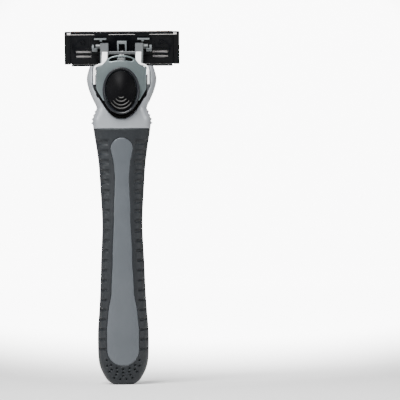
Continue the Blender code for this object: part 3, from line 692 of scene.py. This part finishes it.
def make_trough(material):
    """The black dish round the button, with a slot for the button's stem."""
    lower = scaled([(x, z) for x, z in recess_outline() if z < 107.0], 1.04, 1.03)
    outline = [(-9.3, 116.0), (-9.3, 109.0)] + lower + [(9.3, 109.0), (9.3, 116.0)]
    trough = prism_y("razor_button_trough", outline, -3.1, -1.6)
    cut(trough, prism_y("dish", scaled(outline, 0.88, 0.88), -12.0, -2.3))
    cut(trough, box("stem_slot", (-STEM_SLOT_HALF, -12.0, 103.6),
                    (STEM_SLOT_HALF, 2.0, STEM_SLOT_TOP)))
    bevel(trough, 0.12, 2)
    finish_piece(trough, "handle", material, "black_plastic", "button_trough")


def oval_ring(half_x, half_z, y):
    return [(half_x * math.cos(a), y, BUTTON_CENTRE_Z + half_z * math.sin(a))
            for a in turns_of(96)]


def dome_y(share):
    """How far out the dome stands at a share of its half size."""
    height = DOME_RIM_Y - DOME_FRONT_Y - 0.22
    return DOME_RIM_Y - height * max(0.0, 1.0 - share**2) ** 0.55


def ridge(name, share, spread):
    """A curved rib across the lower half of the dome."""
    rings = []
    for step in range(41):
        t = step / 20.0 - 1.0
        angle = math.radians(-90.0 + spread * t)
        radius = 0.24 * (1.0 - abs(t) ** 3) ** 0.5 + 0.01
        x = BUTTON_HALF[0] * share * math.cos(angle)
        z = BUTTON_CENTRE_Z + BUTTON_HALF[1] * share * math.sin(angle)
        outward = Vector((math.cos(angle), 0.0, math.sin(angle)))
        rings.append([tuple(Vector((x, dome_y(share) + 0.06, z)) + outward * radius * math.cos(a)
                            + Vector((0.0, radius * 0.8 * math.sin(a), 0.0)))
                      for a in turns_of(12)])
    rib = loft(name, rings)
    rib.data.shade_smooth()
    return rib


def make_button(ring_material, dome_material, ridge_highlight_material, tab_material):
    """An oval lip that slopes inwards round a dome with curved finger ridges."""
    wide, tall = RING_HALF
    profile = ((0.0, RING_BACK_Y), (0.0, RING_FRONT_Y + 0.35), (-0.1, RING_FRONT_Y + 0.1),
               (-0.3, RING_FRONT_Y), (-0.5, RING_FRONT_Y + 0.05), (-1.15, RING_FRONT_Y + 0.55),
               (-1.2, RING_BACK_Y))
    rings = [oval_ring(wide + inset, tall + inset, y) for inset, y in profile]
    count = len(rings[0])
    points = [point for ring in rings for point in ring]
    faces = []
    for level in range(len(rings)):
        low, high = level * count, (level + 1) % len(rings) * count
        for index in range(count):
            following = (index + 1) % count
            faces.append((low + index, low + following, high + following, high + index))
    ring = mesh_piece("razor_button_ring", points, faces)
    ring.data.shade_smooth()
    finish_piece(ring, "button", ring_material, "dark_grey_plastic", "button_ring")

    rings = [oval_ring(BUTTON_HALF[0], BUTTON_HALF[1], RING_BACK_Y),
             oval_ring(BUTTON_HALF[0], BUTTON_HALF[1], DOME_RIM_Y)]
    for share in levels(0.985, 0.02, 0.035):
        rings.append([(x, dome_y(share), z) for x, _, z in
                      oval_ring(BUTTON_HALF[0] * share, BUTTON_HALF[1] * share, 0.0)])
    dome = loft("razor_button_dome", rings)
    dome.data.shade_smooth()
    dome.data.set_sharp_from_angle(angle=math.radians(60))
    finish_piece(dome, "button", dome_material, "black_plastic", "button_dome")

    tab = box("razor_ejector_tab", (-1.0, -3.36, 118.3), (1.0, -3.0, 119.3))
    bevel(tab, 0.1, 2)
    finish_piece(tab, "button", tab_material, "pale_acetal")
    # The ridges are black plastic like the dome, coloured a lighter brownish grey: painted
    # highlights along the ridges
    for number, (share, spread) in enumerate(RIDGES):
        rib = ridge("razor_button_ridge_{}".format(number + 1), share, spread)
        finish_piece(rib, "button", ridge_highlight_material, "black_plastic", "button_dome")


# ---------------------------------------------------------------- yoke

def make_yoke(material, band_material):
    """Two arms with outward pins and a cross bar, with a pale band at each foot and flank: a
    painted highlight on the silver paint.
    """
    foot_y, foot_z = 3.1, 109.2
    nose = [(PIVOT.y + 1.3 * math.cos(a), PIVOT.z + 1.3 * math.sin(a))
            for a in arc_angles(-45.0, 135.0, 12.0)]
    arm = [(foot_y - 0.9, foot_z), (foot_y + 0.9, foot_z), (foot_y + 0.9, 115.4)] + nose + [
        (foot_y - 0.9, 116.4)]
    gusset = [(-2.9, 116.5), (4.0, 116.4), (8.6, 121.0), (7.6, 121.9), (4.6, 120.4),
              (1.0, 118.4), (-1.6, 117.4)]
    flank = [(6.2, 117.5), (8.3, 117.05), (9.3, 116.6), (9.95, 115.9), (10.25, 114.8),
             (10.25, 109.6), (9.45, 109.6), (9.45, 114.8), (9.2, 115.6), (8.2, 116.4),
             (6.2, 116.5)]
    yoke = box("razor_yoke", (-5.4, 8.8, 121.0), (5.4, 9.9, 122.1))
    for name, side in SIDES:
        low, high = sorted((side * 4.9, side * 7.9))
        join_to(yoke, prism_x("arm", arm, low, high))
        # The band is silver paint coloured near white: a painted highlight along the arm's foot
        # and flank
        low, high = sorted((side * 5.2, side * 7.2))
        band = prism_x("razor_yoke_band_" + name, gusset, low, high)
        join_to(band, prism_y("flank", [(side * x, z) for x, z in flank], -3.1, 0.6))
        soften(band, 0.15, 4)
        finish_piece(band, "yoke", band_material, "silver_paint", "yoke")
        join_to(yoke, rod("pin", (side * 5.4, PIVOT.y, PIVOT.z),
                          (side * PIN_REACH, PIVOT.y, PIVOT.z), PIN_RADIUS))
    soften(yoke, 0.15, 3)
    finish_piece(yoke, "yoke", material, "silver_paint", "yoke")


# ---------------------------------------------------------------- cartridge

def make_end_caps(material):
    outline = ((BACK_Y, FACE_BOTTOM + 0.9), (BACK_Y, FACE_TOP - 1.0), (BACK_Y + 1.2, FACE_TOP),
               (FRONT_Y - 1.3, FACE_TOP), (FRONT_Y - 0.3, FACE_TOP - 0.8),
               (FRONT_Y + 0.2, FACE_TOP - 2.4), (FRONT_Y + 0.2, FACE_BOTTOM + 2.2),
               (FRONT_Y - 0.4, FACE_BOTTOM + 0.7), (FRONT_Y - 1.4, FACE_BOTTOM),
               (BACK_Y + 0.9, FACE_BOTTOM))
    inner, outer = CARTRIDGE_HALF - END_CAP_WIDTH, CARTRIDGE_HALF - 0.03
    for side, low, high in (("left", -outer, -inner), ("right", inner, outer)):
        cap = prism_x("razor_end_cap_" + side, outline, low, high)
        soften(cap, 0.14, 8)
        to_cartridge(cap)
        finish_piece(cap, "cartridge", material, "black_plastic", "end_cap_" + side)


def make_housing(material):
    housing = box("razor_blade_frame", (-BODY_HALF, BACK_Y + 1.3, FACE_BOTTOM + 0.3),
                  (BODY_HALF, FRONT_Y - 0.8, FACE_TOP))
    cut(housing, box("window", (-INNER_HALF + 0.8, 0.0, -4.3), (INNER_HALF - 0.8, 9.0, 2.1)))
    bevel(housing, 0.18)
    to_cartridge(housing)
    finish_piece(housing, "cartridge", material, "black_plastic", "cartridge_housing")


def make_back_cover(material, rim_highlight_material):
    """Rinse slots, sunk panels, faint ejector rings and a pale broken rim along the top, the rim
    a painted highlight on black plastic.
    """
    cover = box("razor_back_cover", (-BODY_HALF, BACK_Y + 0.05, FACE_BOTTOM + 0.35),
                (BODY_HALF, BACK_Y + 1.35, FACE_TOP - 0.05))
    for _, side in SIDES:
        slots = []
        for z in (-2.35, -4.1):
            low, high = sorted((side * 11.3, side * 17.0))
            slots.append(box("rinse_slot", (low, 0.0, z - 0.4), (high, 4.0, z + 0.4)))
        cut(cover, gather(slots))
        low, high = sorted((side * 12.0, side * 18.4))
        cut(cover, box("panel", (low, 0.0, -0.9), (high, BACK_Y + 0.28, 3.4)))
        x, z = side * 14.6, 1.1
        ring = rod("mark", (x, BACK_Y + 0.12, z), (x, BACK_Y + 0.5, z), 0.95)
        cut(ring, rod("mark_hole", (x, -1.0, z), (x, 3.0, z), 0.65))
        join_to(cover, ring)
    bevel(cover, 0.1, 2)
    to_cartridge(cover)
    finish_piece(cover, "cartridge", material, "black_plastic", "back_cover")
    # The rim lips are black plastic painted pale steel grey: a painted highlight along the top
    # edge
    for number, (low, high) in enumerate(((-20.2, -10.1), (-4.9, 4.9), (10.1, 20.2))):
        rim = prism_x("razor_top_rim_highlight_{}".format(number + 1),
                      ((BACK_Y + 0.02, 4.05), (BACK_Y + 0.5, 4.0), (BACK_Y + 0.75, 4.6),
                       (BACK_Y + 0.4, 4.72), (BACK_Y + 0.1, 4.5)), low, high)
        bevel(rim, 0.08, 3, 20.0)
        to_cartridge(rim)
        finish_piece(rim, "cartridge", rim_highlight_material, "black_plastic", "back_cover")


def blade_point(centre_z, along, outward):
    return (BLADE_DEPTH + along * math.sin(BLADE_TILT) + outward * math.cos(BLADE_TILT),
            centre_z - along * math.cos(BLADE_TILT) + outward * math.sin(BLADE_TILT))


def make_blades(material):
    for number in range(BLADE_COUNT):
        z = BLADE_FIRST_Z - number * BLADE_PITCH
        outline = [blade_point(z, *spot) for spot in
                   ((-0.6, -0.1), (0.35, -0.1), (0.5, -0.05), (0.66, 0.03), (0.68, 0.05),
                    (0.66, 0.07), (0.35, 0.1), (-0.6, 0.1))]
        blade = prism_x("razor_blade_{}".format(number + 1), outline,
                        -BLADE_HALF, BLADE_HALF)
        to_cartridge(blade)
        finish_piece(blade, "cartridge", material, "blade_steel",
                     "blade_{}".format(number + 1))


def make_strip(material):
    front = FRONT_Y - 0.5
    outline = [(front, 2.45), (front + 0.5, 2.5), (front + 0.7, 2.62), (front + 0.75, 2.85),
               (front + 0.75, 3.9), (front + 0.7, 4.15), (front + 0.45, 4.55), (front, FACE_TOP)]
    strip = prism_x("razor_lubricating_strip", outline, -STRIP_HALF, STRIP_HALF)
    bevel(strip, 0.12, 3, 25.0)
    to_cartridge(strip)
    finish_piece(strip, "cartridge", material, "orange_strip", "lubricating_strip")


def make_guard(material):
    """A soft bar with five long fins and a row of small nubs along its upper edge."""
    front = FRONT_Y - 0.5
    outline = [(front, -6.8), (front + 0.35, -6.75)]
    for index in range(5):
        z = -6.6 + index * 0.36
        outline += [(front + 0.45, z), (front + 0.68, z + 0.1), (front + 0.68, z + 0.2),
                    (front + 0.45, z + 0.3)]
    outline += [(front + 0.4, -4.75), (front, -4.62)]
    guard = prism_x("razor_guard", outline, -STRIP_HALF, STRIP_HALF)
    nubs = []
    for x in levels(-INNER_HALF + 1.0, INNER_HALF - 1.0, 0.85):
        nubs.append(box("nub", (x - 0.22, front + 0.1, -4.9), (x + 0.22, front + 0.62, -4.6)))
    join_to(guard, gather(nubs))
    bevel(guard, 0.05, 2, 40.0)
    to_cartridge(guard)
    finish_piece(guard, "cartridge", material, "light_blue_rubber", "guard_rubber")


def make_brackets(material, plate_material):
    """J-shaped hooks that hold the pins, each below a T-shaped rib, on a black plate."""
    for name, side in SIDES:
        def span(inner, outer):
            return sorted((side * inner, side * outer))
        low, high = span(10.2, 11.0)
        wall = [(2.0 * math.cos(a), 2.0 * math.sin(a))
                for a in arc_angles(165.0, 245.0, 10.0)]
        wall += [(BACK_Y - 0.3, -2.0), (BACK_Y - 0.3, 0.5)]
        hook = prism_x("razor_bracket_" + name, wall, low, high)
        low, high = span(9.0, 10.6)
        lip = [(2.0 * math.cos(a), 2.0 * math.sin(a))
               for a in arc_angles(195.0, 245.0, 10.0)]
        lip += [(BACK_Y - 0.3, -2.0), (BACK_Y - 0.3, -1.1)]
        lip += [(1.15 * math.cos(a), 1.15 * math.sin(a))
                for a in arc_angles(285.0, 205.0, 10.0)]
        join_to(hook, prism_x("lip", lip, low, high))
        low, high = span(5.7, 10.2)
        join_to(hook, box("bar", (low, -0.2, 2.45), (high, BACK_Y - 0.3, 2.95)))
        low, high = span(7.2, 8.1)
        join_to(hook, box("stem", (low, -0.15, 1.85), (high, BACK_Y - 0.3, 2.7)))
        low, high = span(8.4, 10.4)
        join_to(hook, box("root", (low, BACK_Y - 0.6, 0.2), (high, BACK_Y - 0.3, 2.6)))
        bevel(hook, 0.08, 2)
        to_cartridge(hook)
        finish_piece(hook, "cartridge", material, "grey_abs", "bearing_bracket_" + name)
        low, high = span(8.35, 11.05)
        plate = box("razor_bracket_plate_" + name, (low, BACK_Y - 0.75, -2.1),
                    (high, BACK_Y + 0.2, 3.05))
        bevel(plate, 0.12, 2)
        to_cartridge(plate)
        finish_piece(plate, "cartridge", plate_material, "black_plastic",
                     "bearing_bracket_" + name)


def make_clips(material):
    """Steel sheet seen through the rinse slots."""
    for name, side in SIDES:
        low, high = sorted((side * 10.9, side * 17.4))
        clip = box("razor_clip_" + name, (low, BACK_Y + 0.75, -4.8), (high, BACK_Y + 0.95, -1.7))
        bevel(clip, 0.04, 2)
        to_cartridge(clip)
        finish_piece(clip, "cartridge", material, "blade_steel", "back_cover")


def make_cam(material):
    outline = ((-1.75, -3.0), (-1.15, -3.0), (-1.15, 0.8), (1.15, 0.8), (1.15, -3.0),
               (1.75, -3.0), (1.75, 1.9), (-1.75, 1.9))
    cam = prism_y("razor_cam", outline, 0.1, BACK_Y - 0.3)
    bevel(cam, 0.12, 3)
    to_cartridge(cam)
    finish_piece(cam, "cartridge", material, "grey_abs", "cam_bracket")


# ---------------------------------------------------------------- springs and plunger

def coil(name, start, axis, length, radius, wire, turns):
    """A round wire wound along an axis, its end turns closer together."""
    turn = axis.to_track_quat("Z", "Y").to_matrix()
    steps = 28
    rings = []
    for index in range(turns * steps + 1):
        angle = 2.0 * math.pi * index / steps
        share = index / (turns * steps)
        climb = length * (share - math.sin(2.0 * math.pi * share) * 0.07)
        outward = Vector((math.cos(angle), math.sin(angle), 0.0))
        centre = outward * radius + Vector((0.0, 0.0, climb))
        rings.append([tuple(start + turn @ (centre + (outward * math.cos(a)
                                                      + Vector((0.0, 0.0, math.sin(a)))) * wire))
                      for a in turns_of(12)])
    wound = loft(name, rings)
    wound.data.shade_smooth()
    return wound


def make_spring(name, material, wound):
    """A spring wound in place between two bodies, standing in for its CAD node, which is hidden.
    """
    spring = coil("razor_" + name, *wound)
    paint(spring, material)
    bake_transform(spring)
    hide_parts(name)


def make_springs(material):
    seat = Vector((0.0, 2.2, 105.35))
    make_spring("button_spring", material,
                (seat, UP, 7.3, 1.1, 0.16, 6))
    seat = PLUNGER_TIP - PLUNGER_AXIS * 10.3
    make_spring("plunger_spring", material,
                (seat, PLUNGER_AXIS, 3.9, 0.8, 0.11, 4))


def make_plunger(material):
    """A pin with a round nose, and a thin shank that its spring sits round."""
    turn = PLUNGER_AXIS.to_track_quat("Z", "Y").to_matrix()
    full, shank = 0.85, 0.5
    profile = [(0.01, -7.4), (0.42, -7.4), (shank, -7.3), (shank, -6.1), (0.78, -6.1),
               (full, -6.0), (full, -3.0), (0.78, -2.9), (0.78, -2.6), (full, -2.5)]
    profile += [(full * math.cos(a), full * (math.sin(a) - 1))
                for a in arc_angles(0.0, 90.0, 9.0)]
    rings = [[tuple(PLUNGER_TIP + turn @ Vector((max(0.01, radius) * math.cos(a),
                                                 max(0.01, radius) * math.sin(a), climb)))
              for a in turns_of(36)]
             for radius, climb in profile]
    pin = loft("razor_plunger", rings)
    pin.data.shade_smooth()
    pin.data.set_sharp_from_angle(angle=math.radians(40))
    finish_piece(pin, "plunger", material, "pale_acetal", "plunger")


# ---------------------------------------------------------------- carried-over nodes

def dress_nodes(materials):
    looks = {
        "inner_core": "core", "plunger_guide": "bracket", "ejector": "core",
        "blade_support_1": "steel", "blade_support_2": "steel",
        "blade_support_3": "steel", "guard_base": "black",
    }
    for node, look in looks.items():
        paint(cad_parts[node], materials[look])


# ---------------------------------------------------------------- stage

def studio_paper():
    """Pale paper that glows round a spot behind the razor."""
    paper = procedural("studio_paper", (0.6, 0.6, 0.6), 0.8, shade=0.01, grain=0.02,
                       grain_scale=400.0, cloud_scale=6.0, specular=0.1)
    nodes, links = paper.node_tree.nodes, paper.node_tree.links
    shader = nodes["Principled BSDF"]
    place = nodes.new("ShaderNodeTexCoord")
    squeeze = nodes.new("ShaderNodeVectorMath")
    squeeze.operation = "DIVIDE"
    squeeze.inputs[1].default_value = GLOW_SPAN
    links.new(place.outputs["Object"], squeeze.inputs[0])
    away = nodes.new("ShaderNodeVectorMath")
    away.operation = "DISTANCE"
    away.inputs[1].default_value = [spot / span for spot, span in zip(GLOW_PLACE, GLOW_SPAN)]
    links.new(squeeze.outputs["Vector"], away.inputs[0])
    fade = nodes.new("ShaderNodeMapRange")
    fade.interpolation_type = "SMOOTHSTEP"
    fade.inputs["From Min"].default_value = 0.85
    fade.inputs["From Max"].default_value = 1.11
    fade.inputs["To Min"].default_value = WALL_GLOW
    fade.inputs["To Max"].default_value = FLOOR_GLOW
    links.new(away.outputs["Value"], fade.inputs["Value"])
    shader.inputs["Emission Color"].default_value = (1.0, 1.0, 1.0, 1.0)
    links.new(fade.outputs["Result"], shader.inputs["Emission Strength"])
    return paper


def make_stage():
    """A round floor that sweeps up into a low wall, with soft lamps inside."""
    profile = [(0.1, 0.0), (FLOOR_RADIUS, 0.0)]
    profile += [(FLOOR_RADIUS + SWEEP_RADIUS * math.sin(a),
                 SWEEP_RADIUS - SWEEP_RADIUS * math.cos(a))
                for a in arc_angles(6.0, 90.0, 6.0)]
    profile += [(FLOOR_RADIUS + SWEEP_RADIUS, WALL_TOP)]
    count = 96
    points = [(r * math.cos(a), r * math.sin(a), z) for r, z in profile for a in turns_of(count)]
    faces = [(low * count + i, low * count + (i + 1) % count,
              (low + 1) * count + (i + 1) % count, (low + 1) * count + i)
             for low in range(len(profile) - 1) for i in range(count)]
    faces.append(tuple(range(count)))
    floor = linked_mesh("floor", points, faces)
    paint(floor, studio_paper())

    world = bpy.data.worlds.new("studio")
    world.use_nodes = True
    background = world.node_tree.nodes["Background"]
    background.inputs["Color"].default_value = (1.0, 1.0, 1.0, 1.0)
    background.inputs["Strength"].default_value = WORLD_GLOW
    bpy.context.scene.world = world
    for name, place, size, power in LAMPS:
        lamp = bpy.data.lights.new(name, "AREA")
        lamp.size = size
        lamp.energy = power
        item = bpy.data.objects.new(name, lamp)
        item.location = place
        aim = Vector(LAMP_AIM) - Vector(place)
        item.rotation_euler = aim.to_track_quat("-Z", "Y").to_euler()
        bpy.context.collection.objects.link(item)


def make_camera():
    """A long lens straight at the thumb side."""
    lens = bpy.data.cameras.new("camera")
    lens.sensor_width = SENSOR
    lens.lens = SENSOR * -CAMERA_PLACE[1] / FRAME_WIDTH
    lens.clip_start = 0.01
    camera = bpy.data.objects.new("camera", lens)
    camera.location = CAMERA_PLACE
    camera.rotation_euler = (math.radians(90.0), CAMERA_ROLL, 0.0)
    bpy.context.collection.objects.link(camera)
    bpy.context.scene.camera = camera


make_camera()
make_stage()
looks = make_materials()
make_shell(looks["shell"])
make_grip(looks["rubber"], looks["inlay"])
make_cover(looks["silver"])
make_painted_shade_backings(looks["core"])
make_trough(looks["core"])
make_button(looks["dark_grey"], looks["dome"], looks["ridge"], looks["white"])
make_yoke(looks["arm"], looks["band"])
make_end_caps(looks["black"])
make_housing(looks["black"])
make_back_cover(looks["black"], looks["clip"])
make_blades(looks["steel"])
make_strip(looks["orange"])
make_guard(looks["blue"])
make_brackets(looks["bracket"], looks["black"])
make_clips(looks["clip"])
make_cam(looks["bracket"])
make_springs(looks["steel"])
make_plunger(looks["white"])
dress_nodes(looks)
